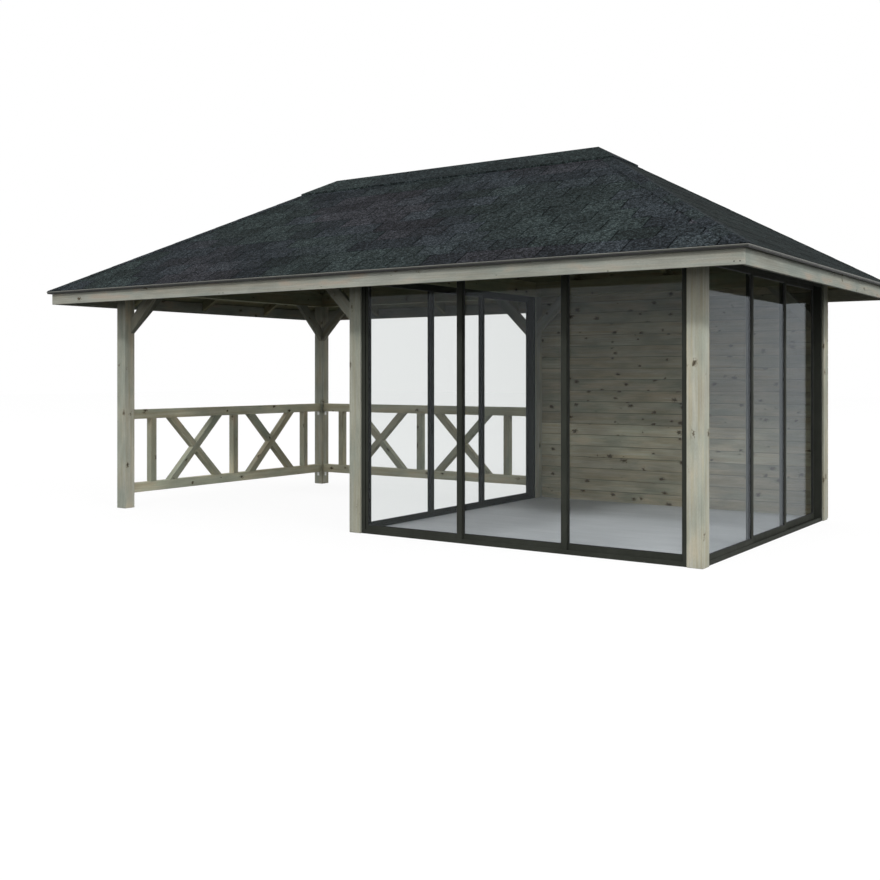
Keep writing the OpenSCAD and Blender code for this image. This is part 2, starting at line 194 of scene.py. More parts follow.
def bars(starts, ends, across, size, radius=EDGE_ROUND, cuts=(None, None), hue=None, tone=None):
    """Straight bars with rounded edges: a rounded rectangle carried from each start to its end.

    At each end a smaller ring lies in the end's plane and a full ring one radius further in.
    A cut is the normal of an end's plane: each point slides along the bar into that plane, by
    minus its offset's share along the normal over the bar's own share along the normal.
    """
    starts, ends = np.atleast_2d(starts).astype(float), np.atleast_2d(ends).astype(float)
    run = ends - starts
    axis = run / np.linalg.norm(run, axis=1, keepdims=True)
    across = np.broadcast_to(across, axis.shape)
    across = across - np.einsum("bk,bk->b", across, axis)[:, None] * axis
    across = across / np.linalg.norm(across, axis=1, keepdims=True)
    up = np.cross(axis, across)
    half = np.array(size) / 2
    full = rounded_profile(half[0], half[1], radius)
    small = full * (1 - radius / half)
    rings = []
    for origin, profile, cut, inward in (
        (starts, small, cuts[0], 0.0),
        (starts, full, cuts[0], radius),
        (ends, full, cuts[1], -radius),
        (ends, small, cuts[1], 0.0),
    ):
        offset = profile[:, :1] * across[:, None] + profile[:, 1:] * up[:, None]
        normal = axis if cut is None else np.broadcast_to(cut, axis.shape)
        slide = -np.einsum("bpk,bk->bp", offset, normal) / np.einsum("bk,bk->b", axis, normal)[:, None]
        rings.append(origin[:, None] + offset + (slide + inward)[..., None] * axis[:, None])
    return stack(np.stack(rings, axis=1), axis, across, hue, tone)


def level_bar(x_low, x_high, y, z, size, radius=EDGE_ROUND, **colouring):
    """A bar along X with its middle line at y and z; its size is its depth and its height."""
    return bars([x_low, y, z], [x_high, y, z], Y, size, radius, **colouring)


def loft_faces(count, stations, points, first):
    """Quads between neighbouring rings and a cap on each end ring, as lists of vertex numbers."""
    number = first + np.arange(count * stations * points).reshape(count, stations, points)
    nearer, further = number[:, :-1], number[:, 1:]
    quads = np.stack(
        [nearer, np.roll(nearer, -1, axis=2), np.roll(further, -1, axis=2), further], axis=-1
    ).reshape(-1, 4)
    caps = np.concatenate([number[:, 0, ::-1], number[:, -1]])
    return quads.tolist() + caps.tolist()


def per_point(stacks, name):
    """One value for each vertex from one for each piece, or from one for each point of its ring."""
    spread = []
    for s in stacks:
        values = s[name][:, None, None] if s[name].ndim == 1 else s[name][:, None, :]
        spread.append(np.broadcast_to(values, s["rings"].shape[:3]).ravel())
    return np.concatenate(spread).astype(np.float32)


def add(name, data):
    """A new object in the scene."""
    made = bpy.data.objects.new(name, data)
    scene.collection.objects.link(made)
    return made


def place(name, stacks, finish, nodes, body="structure"):
    """One object made of lofted pieces, which stands for CAD nodes and rides on a body."""
    points = np.concatenate([s["rings"].reshape(-1, 3) for s in stacks])
    grain = np.concatenate([s["grain"].reshape(-1, 3) for s in stacks])
    faces, first = [], 0
    for s in stacks:
        faces += loft_faces(*s["rings"].shape[:3], first)
        first += s["rings"][..., 0].size
    mesh = bpy.data.meshes.new(name)
    mesh.from_pydata(points.tolist(), [], faces)
    grain_layer = mesh.attributes.new("grain", "FLOAT_VECTOR", "POINT")
    grain_layer.data.foreach_set("vector", grain.astype(np.float32).ravel())
    for colouring in ("hue", "tone"):
        layer = mesh.attributes.new(colouring, "FLOAT", "POINT")
        layer.data.foreach_set("value", per_point(stacks, colouring))
    mesh.materials.append(finish)
    mesh.update()
    piece = add(name, mesh)
    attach(piece, body)
    if nodes:
        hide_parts(*nodes)


class Nodes:
    """A node tree under construction: each method adds nodes and returns an output of them."""

    def __init__(self, tree):
        self.tree = tree

    def join(self, made, key, value):
        """Join an output to an input of a node, or give the input a plain value."""
        if isinstance(value, bpy.types.NodeSocket):
            self.tree.links.new(value, made.inputs[key])
        else:
            made.inputs[key].default_value = value

    def node(self, kind, inputs=(), **settings):
        """A node with its settings and with its inputs joined or set, by number or name."""
        made = self.tree.nodes.new(f"ShaderNode{kind}")
        for setting, value in settings.items():
            setattr(made, setting, value)
        for key, value in dict(inputs).items():
            self.join(made, key, value)
        return made

    def attribute(self, name, output="Fac"):
        return self.node("Attribute", attribute_name=name).outputs[output]

    def place(self):
        return self.node("TexCoord").outputs["Object"]

    def math(self, operation, first, second=0.0, third=0.0, clamp=False):
        inputs = {0: first, 1: second, 2: third}
        return self.node("Math", inputs, operation=operation, use_clamp=clamp).outputs[0]

    def product(self, first, *others):
        """All the values multiplied together."""
        for other in others:
            first = self.math("MULTIPLY", first, other)
        return first

    def seen(self):
        """One for rays from the camera, off a mirror or through glass, zero for scattered light."""
        path = self.node("LightPath").outputs
        direct = self.math("MAXIMUM", path["Is Camera Ray"], path["Is Glossy Ray"])
        return self.math("MAXIMUM", direct, path["Is Transmission Ray"])

    def vector(self, operation, inputs):
        return self.node("VectorMath", inputs, operation=operation)

    def scaled(self, vector, scale):
        return self.vector("MULTIPLY", {0: vector, 1: scale}).outputs[0]

    def noise(self, vector, scale, detail=3.0, roughness=0.55):
        """Soft noise at one scale, or at a scale for each axis."""
        if np.ndim(scale):
            vector, scale = self.scaled(vector, scale), 1.0
        return self.node(
            "TexNoise",
            {"Vector": vector, "Scale": scale, "Detail": detail, "Roughness": roughness},
        ).outputs["Fac"]

    def between(self, value, low, high, to_low=0.0, to_high=1.0, easing="SMOOTHSTEP"):
        """The value's share of the way from low to high, as a number between two others."""
        return self.node(
            "MapRange",
            {"Value": value, "From Min": low, "From Max": high, "To Min": to_low, "To Max": to_high},
            interpolation_type=easing,
        ).outputs["Result"]

    def mix(self, share, first, second):
        inputs = {0: share, 6: first, 7: second}
        return self.node("Mix", inputs, data_type="RGBA").outputs[2]

    def brighten(self, colour, amount):
        """The colour times a number."""
        return self.vector("SCALE", {0: colour, "Scale": amount}).outputs[0]


class Finish(Nodes):
    """A material under construction, with one surface whose inputs are set or joined."""

    def __init__(self, name):
        self.material = bpy.data.materials.new(name)
        self.material.use_nodes = True
        super().__init__(self.material.node_tree)
        self.surface = self.tree.nodes["Principled BSDF"]

    def bump(self, height, distance, strength=1.0):
        relief = {"Height": height, "Distance": distance, "Strength": strength}
        self.join(self.surface, "Normal", self.node("Bump", relief).outputs[0])

    def coat(self, colour, roughness, specular=0.5, metallic=0.0):
        """The material, with the colour and the gloss of its surface."""
        self.join(self.surface, "Base Color", colour)
        self.join(self.surface, "Roughness", roughness)
        self.join(self.surface, "Specular IOR Level", specular)
        self.join(self.surface, "Metallic", metallic)
        return self.material

    def show(self, shader):
        """The material, with another shader in place of its surface."""
        self.join(self.tree.nodes["Material Output"], "Surface", shader.outputs[0])
        return self.material


def paint(red, green, blue):
    """A colour as it looks on a screen, 0 to 255, as the linear colour that a shader takes."""
    screen = np.array([red, green, blue]) / 255
    linear = np.where(screen > 0.04045, ((screen + 0.055) / 1.055) ** 2.4, screen / 12.92)
    return (*linear.tolist(), 1.0)


def timber_finish(name, *paints, knots=0.55, boards=False):
    """Weathered softwood: fibres, growth rings, green and rosy patches, knots and fine cracks.

    The paints are those of pale wood, tan wood, green wood and heartwood.
    Growth rings are a sine of the distance from the pith, bent by noise and round the knots.
    A knot is a small ball in the log, stretched along the grain: each cell of a Voronoi pattern
    holds one at its own point, and noise makes its outline uneven. In boards it runs right through.
    """
    look = Finish(name)
    grain = look.attribute("grain", "Vector")
    hue = look.attribute("hue")
    tone = look.attribute("tone")
    split = look.node("SeparateXYZ", {0: grain}).outputs
    pale, tan, green, heart = (paint(*screen) for screen in paints)
    if boards:
        knot_cell, knot_shape = (0.30, 0.6, 0.10), (0.20, 0.0, 0.10)
        largest_knot, eye_strength = 0.023, 0.55
        fibre_light, patch_light = (0.86, 1.11), (0.80, 1.16)
    else:
        knot_cell, knot_shape = (0.24, 0.055, 0.055), (0.15, 0.055, 0.055)
        largest_knot, eye_strength = 0.019, 0.75
        fibre_light, patch_light = (0.94, 1.05), (0.88, 1.10)

    cells = look.scaled(grain, tuple(1 / size for size in knot_cell))
    voronoi = look.node("TexVoronoi", {"Vector": cells, "Scale": 1.0})
    from_knot = look.vector("SUBTRACT", {0: cells, 1: voronoi.outputs["Position"]}).outputs[0]
    to_scale = look.scaled(from_knot, knot_shape)
    knot_distance = look.vector("LENGTH", {0: to_scale}).outputs["Value"]
    outline = look.noise(grain, (70.0, 130.0, 130.0), 2.0)
    knot_distance = look.product(knot_distance, look.between(outline, 0.32, 0.68, 0.55, 1.5))
    chance = look.node("SeparateColor", {0: voronoi.outputs["Color"]}).outputs
    knot_size = look.between(chance[0], 1 - knots, 1.0, 0.0, largest_knot)
    knot_share = look.math("DIVIDE", knot_distance, look.math("ADD", knot_size, 0.0001))
    knot = look.between(knot_share, 1.0, 0.72)
    knot_eye = look.between(knot_share, 0.75, 0.35)
    swirl = look.product(look.between(knot_share, 4.0, 0.8), look.product(knot_size, 60.0))

    drift = look.noise(grain, (0.9, 10.0, 10.0), 2.0)
    across_squared, through_squared = (look.math("POWER", split[i], 2.0) for i in (1, 2))
    pith = look.math("SQRT", look.math("ADD", across_squared, through_squared))
    ring_phase = look.math("ADD", look.product(pith, 360.0), look.product(drift, 24.0))
    ring_phase = look.math("ADD", ring_phase, look.product(swirl, 5.0))
    rings = look.between(look.math("SINE", ring_phase), -0.4, 1.0)

    fibre = look.noise(grain, (4.0, 190.0, 190.0), 4.0, 0.65)
    streak = look.noise(grain, (1.1, 34.0, 34.0), 3.0)
    patch = look.noise(grain, (2.6, 9.0, 9.0), 3.0)
    mould = look.noise(grain, (1.5, 5.0, 5.0), 4.0, 0.6)
    crack = look.noise(grain, (2.2, 150.0, 150.0), 2.0)
    speck = look.noise(grain, (60.0, 220.0, 220.0), 2.0)

    colour = look.mix(look.between(streak, 0.34, 0.68), pale, tan)
    mouldy = look.between(mould, 0.42, 0.66, 0.0, 0.75)
    fresh = look.between(hue, 0.55, 1.0, 0.0, 0.35)
    colour = look.mix(look.math("ADD", mouldy, fresh, clamp=True), colour, green)
    near_pith = look.between(pith, 0.075, 0.03)
    heart_share = look.product(look.between(patch, 0.5, 0.7, 0.0, 0.8), near_pith)
    colour = look.mix(heart_share, colour, heart)
    light = look.product(
        look.between(fibre, 0.3, 0.7, *fibre_light),
        look.between(rings, 0.0, 1.0, 1.01, 0.96),
        look.math("MULTIPLY_ADD", tone, 0.5, third=0.75),
        look.between(speck, 0.35, 0.7, 0.95, 1.05),
        look.between(patch, 0.3, 0.7, *patch_light),
    )
    colour = look.brighten(colour, light)
    colour = look.mix(look.between(crack, 0.30, 0.20, 0.0, 0.55), colour, paint(78, 74, 60))
    colour = look.mix(look.product(knot, 0.78), colour, paint(92, 78, 58))
    colour = look.mix(look.product(knot_eye, eye_strength), colour, paint(44, 38, 30))
    relief = look.math("ADD", look.product(fibre, 0.6), look.product(rings, -0.35))
    relief = look.math("SUBTRACT", relief, look.between(crack, 0.30, 0.20, 0.0, 1.2))
    relief = look.math("SUBTRACT", relief, look.product(knot_eye, 0.8))
    look.bump(relief, 0.0012, 0.8)
    return look.coat(colour, look.between(fibre, 0.3, 0.7, 0.70, 0.86), 0.10)


def shingle_finish(name):
    """Bitumen shingle: dark mineral granules, with greenish, bluish and plain grey shingles."""
    look = Finish(name)
    spot = look.place()
    hue = look.attribute("hue")
    tone = look.attribute("tone")
    granule = look.noise(spot, 260.0, 2.0, 0.7)
    clump = look.noise(spot, 36.0, 3.0, 0.75)
    weather = look.noise(spot, 2.6, 3.0)
    fleck = look.noise(spot, (70.0, 130.0, 130.0), 2.0, 0.6)
    colour = look.mix(look.between(hue, 0.30, 0.55), paint(32, 38, 38), paint(32, 36, 39))
    colour = look.mix(look.between(hue, 0.62, 0.85), colour, paint(35, 36, 39))
    light = look.product(
        look.between(granule, 0.28, 0.75, 0.5, 1.6),
        look.between(clump, 0.40, 0.60, 0.45, 1.55),
        look.between(fleck, 0.45, 0.68, 0.72, 2.60),
        look.between(weather, 0.3, 0.7, 0.82, 1.18),
        look.math("MULTIPLY_ADD", tone, 0.52, third=0.74),
    )
    look.bump(look.math("ADD", granule, look.product(clump, 0.8)), 0.0016)
    roughness = look.between(clump, 0.3, 0.7, 0.80, 0.95)
    return look.coat(look.brighten(colour, light), roughness, 0.03)


def coated_metal_finish(name, colour, roughness):
    """Powder-coated metal: a fine orange-peel surface with faint dust and rubbed patches."""
    look = Finish(name)
    spot = look.place()
    peel = look.noise(spot, 900.0, 1.0)
    dust = look.noise(spot, 3.2, 4.0, 0.6)
    rub = look.noise(spot, (24.0, 24.0, 6.0), 3.0)
    dusty = look.between(dust, 0.3, 0.7, 0.90, 1.14)
    light = look.product(dusty, look.between(rub, 0.3, 0.7, 0.94, 1.06))
    look.bump(peel, 0.0003, 0.5)
    rubbed = look.between(rub, 0.3, 0.7, roughness - 0.06, roughness + 0.08)
    return look.coat(look.brighten(paint(*colour)[:3], light), rubbed, 0.05)


def zinc_finish(name, pale, dull):
    """Galvanised steel: pale zinc with soft spangle and streaks."""
    look = Finish(name)
    spot = look.place()
    spangle = look.node("TexVoronoi", {"Vector": spot, "Scale": 120.0}).outputs["Color"]
    fleck = look.node("SeparateColor", {0: spangle}).outputs[0]
    streak = look.noise(spot, (3.0, 3.0, 90.0), 3.0)
    colour = look.mix(look.between(streak, 0.35, 0.65), paint(*pale), paint(*dull))
    colour = look.brighten(colour, look.between(fleck, 0.0, 1.0, 0.90, 1.08))
    look.bump(fleck, 0.0002, 0.4)
    return look.coat(colour, look.between(fleck, 0.0, 1.0, 0.42, 0.60), metallic=0.35)


def rubber_finish(name):
    """Black glazing rubber with a faint bloom."""
    look = Finish(name)
    bloom = look.noise(look.place(), 40.0, 3.0)
    colour = look.mix(bloom, paint(20, 21, 21), paint(32, 33, 33))
    look.bump(bloom, 0.0002, 0.4)
    return look.coat(colour, look.between(bloom, 0.3, 0.7, 0.60, 0.80))


def floor_finish(name):
    """Pale grey floor boards: brushed grain, dusty patches and a light tone for each board."""
    look = Finish(name)
    grain = look.attribute("grain", "Vector")
    tone = look.attribute("tone")
    fibre = look.noise(grain, (3.0, 120.0, 120.0), 4.0)
    dust = look.noise(grain, (1.6, 3.0, 3.0), 3.0)
    colour = look.mix(look.between(dust, 0.3, 0.7), paint(184, 188, 192), paint(195, 198, 202))
    board_light = look.between(tone, 0.0, 1.0, 0.975, 1.025)
    light = look.product(look.between(fibre, 0.3, 0.7, 0.95, 1.04), board_light)
    look.bump(fibre, 0.0006, 0.6)
    return look.coat(look.brighten(colour, light), look.between(fibre, 0.3, 0.7, 0.50, 0.66))


def glass_finish(name):
    """Clear float glass: a mirror's share by the angle of sight, and the rest passes straight on.

    The share is 0.03 plus 0.97 times the fifth power of one less the cosine of that angle.
    """
    look = Finish(name)
    smear = look.noise(look.place(), 5.0, 3.0)
    passed_colour = (0.966, 0.972, 0.970, 1.0)
    mirrored_colour = (0.34, 0.37, 0.40, 1.0)
    least_share = 0.03
    roughness = look.between(smear, 0.3, 0.8, 0.0, 0.03)
    passing = look.node("BsdfTransparent", {"Color": passed_colour})
    mirror = look.node("BsdfGlossy", {"Color": mirrored_colour, "Roughness": roughness})
    facing = look.node("LayerWeight", {"Blend": 0.5}).outputs["Facing"]
    grazing = look.math("POWER", facing, 5.0)
    share = look.math("MULTIPLY_ADD", grazing, 1 - least_share, third=least_share)
    pane = look.node("MixShader", {0: share, 1: passing.outputs[0], 2: mirror.outputs[0]})
    look.tree.nodes.remove(look.surface)
    return look.show(pane)


timber = timber_finish(
    "weathered_timber", (160, 160, 149), (150, 145, 126), (142, 147, 136), (160, 151, 131)
)
fascia_timber = timber_finish(
    "fascia_timber", (152, 154, 145), (146, 144, 132), (137, 143, 135), (154, 142, 128), knots=0.3
)
# Paints a little paler than the posts': partly the rails' own colour, partly painted light for their
# shaded place under the roof
rail_timber = timber_finish(
    "rail_timber", (168, 166, 147), (156, 150, 127), (148, 153, 137), (166, 150, 129)
)
wall_paints = (162, 157, 138), (152, 142, 117), (143, 144, 126), (158, 146, 125)
wall_timber = timber_finish("wall_timber", *wall_paints, knots=0.8, boards=True)
roof_timber = timber_finish(
    "roof_timber", (142, 141, 116), (130, 125, 98), (120, 127, 104), (136, 123, 97)
)
shingle = shingle_finish("bitumen_shingle")
anthracite = coated_metal_finish("anthracite_frame", (49, 51, 46), 0.66)
grey_zinc = zinc_finish("grey_zinc", (68, 69, 65), (58, 59, 56))
# Painted highlight: pale zinc for the top bead of the drip edge, where it catches the sky
painted_highlight_zinc = zinc_finish("painted_highlight_zinc", (128, 129, 122), (114, 115, 109))
dark_screw = zinc_finish("dark_screw", (52, 50, 44), (38, 36, 32))
bright_zinc = zinc_finish("bright_zinc", (226, 227, 224), (205, 207, 205))
rubber = rubber_finish("glazing_rubber")
pale_floor = floor_finish("pale_floor")
clear_glass = glass_finish("clear_glass")


# Posts, beams and braces. Each row of posts has its line, and each post from the left its hue and
# its tone: a higher hue is greener and a higher tone is paler. The first front post's right face,
# which has two points of the post's ring, is painted paler and less green than the rest of it.
POST_ROWS = {
    "front": (FRONT_LINE, (0.80, 0.95, 0.30), (0.50, 0.42, 0.90)),
    "back": (BACK_LINE, (0.60, 0.50, 0.35), (0.68, 0.60, 0.65)),
}
RING_POINTS = 12
RIGHT_FACE = [0, 11]
PALE_FACE_HUE = 0.0
PALE_FACE_TONE = 1.5
BRACE_TONE = 0.2
beam_middle = (POST_TOP + BEAM_TOP) / 2
beam_size = (POST, BEAM_TOP - POST_TOP)
for row, (line, *colouring) in POST_ROWS.items():
    feet = np.column_stack([POST_PLACES, np.full(3, line), np.zeros(3)])
    hues, tones = (np.repeat(np.array(c)[:, None], RING_POINTS, axis=1) for c in colouring)
    if row == "front":
        hues[0, RIGHT_FACE] = PALE_FACE_HUE
        tones[0, RIGHT_FACE] = PALE_FACE_TONE
    posts = bars(feet, feet + POST_TOP * Z, X, (POST, POST), hue=hues, tone=tones)
    place(f"{row}_post_timbers", [posts], timber, [f"{row}_posts"])
    beam = level_bar(-BAY - POST / 2, BAY + POST / 2, line, beam_middle, beam_size)
    place(f"{row}_beam_timber", [beam], roof_timber, [f"{row}_beam"])

inner_front = FRONT_LINE + POST / 2
cross_starts = np.column_stack([POST_PLACES, np.full(3, inner_front), np.full(3, beam_middle)])
cross_beams = bars(cross_starts, cross_starts * [1, -1, 1], X, beam_size)
place("cross_beam_timbers", [cross_beams], roof_timber, ["cross_beams"])

# Each brace's post, the way that the brace leaves it and the way to the post's inner face
BRACES = [
    (-BAY, FRONT_LINE, X, Y),
    (-BAY, FRONT_LINE, Y, X),
    (0.0, FRONT_LINE, -X, Y),
    (-BAY, BACK_LINE, -Y, X),
    (-BAY, BACK_LINE, X, -Y),
    (0.0, BACK_LINE, X, -Y),
    (0.0, BACK_LINE, -X, -Y),
    (BAY, BACK_LINE, -X, -Y),
]


def brace(x, y, way, inward):
    """A brace at 45 degrees from a post's face up to the beam, cut plumb below and level above."""
    half_cut = BRACE_WIDTH / math.sqrt(2)
    offset = POST / 2 - BRACE_INSET - BRACE_THICKNESS / 2
    face = np.array([x, y, 0.0]) + way * POST / 2 + inward * offset
    low = face + (POST_TOP - BRACE_DROP + half_cut) * Z
    high = face + (BRACE_DROP - half_cut) * way + POST_TOP * Z
    size = (BRACE_THICKNESS, BRACE_WIDTH)
    return bars(low, high, np.cross(way, Z), size, cuts=(way, Z), tone=BRACE_TONE)


place("brace_timbers", [brace(*where) for where in BRACES], timber, ["knee_braces"])


# The roof's slopes: the way each one faces in plan and half its ridge's length
SLOPES = {
    "front": (np.array([0.0, -1.0]), RIDGE_HALF),
    "right": (np.array([1.0, 0.0]), 0.0),
    "back": (np.array([0.0, 1.0]), RIDGE_HALF),
    "left": (np.array([-1.0, 0.0]), 0.0),
}


def on_slope(side, fall, along, lift):
    """Points on a slope: fall is the level distance from its ridge, along runs beside the eave.

    The height is the ridge's height less the fall times the slope, plus the lift.
    """
    outward, half_ridge = SLOPES[side]
    sideways = np.array([-outward[1], outward[0]])
    fall, along, lift = np.broadcast_arrays(fall, along, lift)
    start = outward * (RIDGE_HALF - half_ridge)
    plan = start + fall[..., None] * outward + along[..., None] * sideways
    return np.concatenate([plan, (RIDGE_Z - SLOPE * fall + lift)[..., None]], axis=-1)


def down(side):
    """Unit vectors down a slope and beside its eave."""
    outward = SLOPES[side][0]
    fall_line = np.array([outward[0], outward[1], -SLOPE])
    return fall_line / np.linalg.norm(fall_line), np.array([-outward[1], outward[0], 0.0])


def tabs(side, head, foot, left, right, head_lift, foot_lift, thickness, hue=None, tone=None):
    """Flat plates on a slope, each from head to foot and from left to right, trimmed at the hips.

    A plate's edge at any fall is its own edge or the hip, which lies half the ridge's length plus
    the fall from the slope's middle, whichever is nearer the middle. Its top rises evenly from
    head_lift to foot_lift above the roof's surface.
    """
    half_ridge = SLOPES[side][1]
    head, foot, left, right = np.broadcast_arrays(head, foot, left, right)
    tip = 0.012
    start = np.maximum(head, np.maximum(left - half_ridge, -right - half_ridge) + tip)
    kept = start < foot - tip
    head, foot, left, right, start = (v[kept][:, None] for v in (head, foot, left, right, start))
    fall = start + np.linspace(0.0, 1.0, 4) * (foot - start)
    near = np.maximum(left, -half_ridge - fall)
    far = np.minimum(right, half_ridge + fall)
    top = head_lift + (foot_lift - head_lift) * (fall - head) / (foot - head)
    under = top - thickness
    outline = ((near, top), (near, under), (far, under), (far, top))
    rings = np.stack([on_slope(side, fall, edge, lift) for edge, lift in outline], axis=2)
    way, sideways = down(side)
    colouring = (c[kept] if np.ndim(c) else c for c in (hue, tone))
    return stack(rings, way, sideways, *colouring)


# Colours of the tabs: the number of a course's middle tab, which keeps all numbers above zero, the
# size of each wave of hue with its turn for a metre along and down a slope, and hues and tones
MIDDLE_TAB = 60
HUE_WAVES = ((0.26, 1.3, 2.1), (0.24, 2.3, -3.7))
HUE_SPREAD = 0.4
LEAST_HUE = 0.3
END_HUE_SPREAD = 0.15
END_HUE = 0.2
LONG_TONES = (0.0, 1.0)
END_SHADE_TONES = (-0.2, -0.1)
UNDERLAY_SHADE_TONE = -1.1


def shingle_courses(side):
    """Courses of three-tab shingles, each course shifted by half a tab against the one below.

    All tabs of one shingle share a hue, and each tab has a tone of its own. The end slopes are
    more even than the long ones, and painted darker: painted shade, as their shingles are the same.
    """
    is_end = SLOPES[side][1] == 0.0
    reach = EDGE_Y - RIDGE_CAP_REACH + HEADLAP
    courses = math.ceil(reach / COURSE)
    across = math.ceil(EDGE_X / TAB_WIDTH) + 1
    course, tab = np.mgrid[:courses, -across:across]
    foot = EDGE_Y - COURSE * course
    left = tab * TAB_WIDTH + (course % 2) * TAB_WIDTH / 2
    shingle_number = (tab + rng.integers(0, 3, (courses, 1)) + MIDDLE_TAB) // 3
    shingle_hue = rng.uniform(0.0, 1.0, (courses, shingle_number.max() + 1))
    drift = sum(size * np.sin(along * left + fall * foot) for size, along, fall in HUE_WAVES)
    hue = np.take_along_axis(shingle_hue, shingle_number, axis=1) * HUE_SPREAD + LEAST_HUE + drift
    if is_end:
        hue = END_HUE + END_HUE_SPREAD * hue
    tone = rng.uniform(*(END_SHADE_TONES if is_end else LONG_TONES), hue.size)
    foot, left, hue = foot.ravel(), left.ravel(), hue.ravel()
    near, far = left + TAB_SLOT / 2, left + TAB_WIDTH - TAB_SLOT / 2
    head = foot - COURSE - HEADLAP
    head_lift = -TAB_LEAN * (COURSE + HEADLAP) / COURSE
    return tabs(side, head, foot, near, far, head_lift, 0.0, TAB_THICKNESS, hue, tone)


def underlay(side):
    """The bare black sheet under the shingles, which shows in the slots between the tabs. Its tone is
    painted far darker than the shingles': painted shade, so that the slots read as shaded dashes.
    """
    past_hips = np.array([EDGE_X + 0.1])
    lift, thickness = -UNDERLAY_DROP, SHINGLE_RISE - UNDERLAY_DROP
    plate = (0.0, EDGE_Y, -past_hips, past_hips, lift, lift, thickness)
    return tabs(side, *plate, 0.5, UNDERLAY_SHADE_TONE)


for side in SLOPES:
    layers = [underlay(side), shingle_courses(side)]
    place(f"{side}_shingle_courses", layers, shingle, [f"{side}_shingles"])


def ridge_cap(side):
    """The raised cap beside the ridge, in lengths that butt against each other."""
    half = RIDGE_HALF + RIDGE_CAP_REACH if SLOPES[side][1] else RIDGE_CAP_REACH
    lengths = max(1, round(2 * half / RIDGE_CAP_LENGTH))
    cuts = np.linspace(-half, half, lengths + 1)
    seam, sunk = 0.001, 0.004
    sides = cuts[:-1] + seam, cuts[1:] - seam
    lifts = RIDGE_CAP_RISE, RIDGE_CAP_RISE
    colouring = rng.uniform(0.2, 0.5, lengths), rng.uniform(0.3, 0.7, lengths)
    return tabs(side, 0.0, RIDGE_CAP_REACH, *sides, *lifts, RIDGE_CAP_RISE + sunk, *colouring)


place("ridge_cap_shingles", [ridge_cap(side) for side in SLOPES], shingle, ["ridge_cap"])


HIPS = [(end, side) for end in (-1, 1) for side in (-1, 1)]


def hip_ways(end, side):
    """Level unit vectors along a hip, outwards, and across it, and the slope along the hip."""
    way = np.array([end, side, 0.0]) / math.sqrt(2)
    across = np.array([-side, end, 0.0]) / math.sqrt(2)
    return way, across, SLOPE / math.sqrt(2)


def hip_cap(end, side):
    """Folded caps that lap down one hip, each lying over the head of the one below.

    Across the hip the height falls by the slope over the root of two on both sides, with the fold
    rounded: the fall follows the root of the squared distance plus a small radius squared. The
    lowest cap is trimmed along the two eaves, which leave the hip's line at 45 degrees.
    """
    way, across, hip_slope = hip_ways(end, side)
    lap = 0.05
    setback = 0.004
    fold = 0.004
    sheet = 0.003
    head_lift = 0.0008
    first = RIDGE_CAP_REACH * math.sqrt(2) - HEADLAP
    last = EDGE_Y * math.sqrt(2) - setback
    count = math.ceil((last - first) / HIP_CAP_STEP)
    foot = last - HIP_CAP_STEP * np.arange(count)
    head = np.maximum(foot - HIP_CAP_STEP - lap, first)
    share = np.linspace(0.0, 1.0, 3)
    lift = head_lift + (HIP_CAP_RISE - head_lift) * share
    spread = HIP_CAP_HALF * np.array([-1.0, -0.35, -0.1, 0.0, 0.1, 0.35, 1.0])
    drop = hip_slope * (np.sqrt(spread**2 + fold**2) - fold)
    across_points = np.concatenate([spread, spread[::-1]])
    across_drop = np.concatenate([drop, drop[::-1] + sheet])
    run = head[:, None] + share * (foot - head)[:, None]
    run = np.repeat(run[..., None], across_points.size, axis=2)
    run[0] -= share[:, None] * np.abs(across_points)
    height = RIDGE_Z - hip_slope * run + lift[:, None] - across_drop
    plan = end * RIDGE_HALF * X + run[..., None] * way + across_points[:, None] * across
    rings = plan + height[..., None] * Z
    hue = rng.uniform(0.35, 0.65, count)
    return stack(rings, way - hip_slope * Z, across, hue)


place("hip_cap_shingles", [hip_cap(*hip) for hip in HIPS], shingle, ["hip_caps"])


def roof_boards(side):
    """Boards beside the eave, with the lower edges chamfered, trimmed to meet at the hips.

    Each board is one profile of fall and drop carried from one hip to the other.
    """
    half_ridge = SLOPES[side][1]
    setback = 0.020
    ridge_gap = 0.004
    chamfer = 0.004
    edge = EDGE_Y - setback
    count = math.ceil(edge / (ROOF_BOARD_PITCH * math.cos(ROOF_PITCH)))
    joints = np.linspace(ridge_gap, edge, count + 1)
    upper = np.array([0.0, 1.0, 1.0, 1.0, 0.0, 0.0])
    inset = np.array([0.0, 0.0, 0.0, -chamfer, chamfer, 0.0])
    drop = np.array([0.0, 0.0, BOARD_RISE - chamfer, BOARD_RISE, BOARD_RISE, BOARD_RISE - chamfer])
    fall = joints[:-1, None] + upper * np.diff(joints)[:, None] + inset
    ends = np.array([-1.0, 1.0])[:, None] * (half_ridge + fall)[:, None, :]
    rings = on_slope(side, fall[:, None, :], ends, -SHINGLE_RISE - drop)
    way, sideways = down(side)
    return stack(rings, sideways, way)


for side in SLOPES:
    boards = roof_boards(side)
    place(f"{side}_board_timbers", [boards], roof_timber, [f"{side}_roof_boards"])


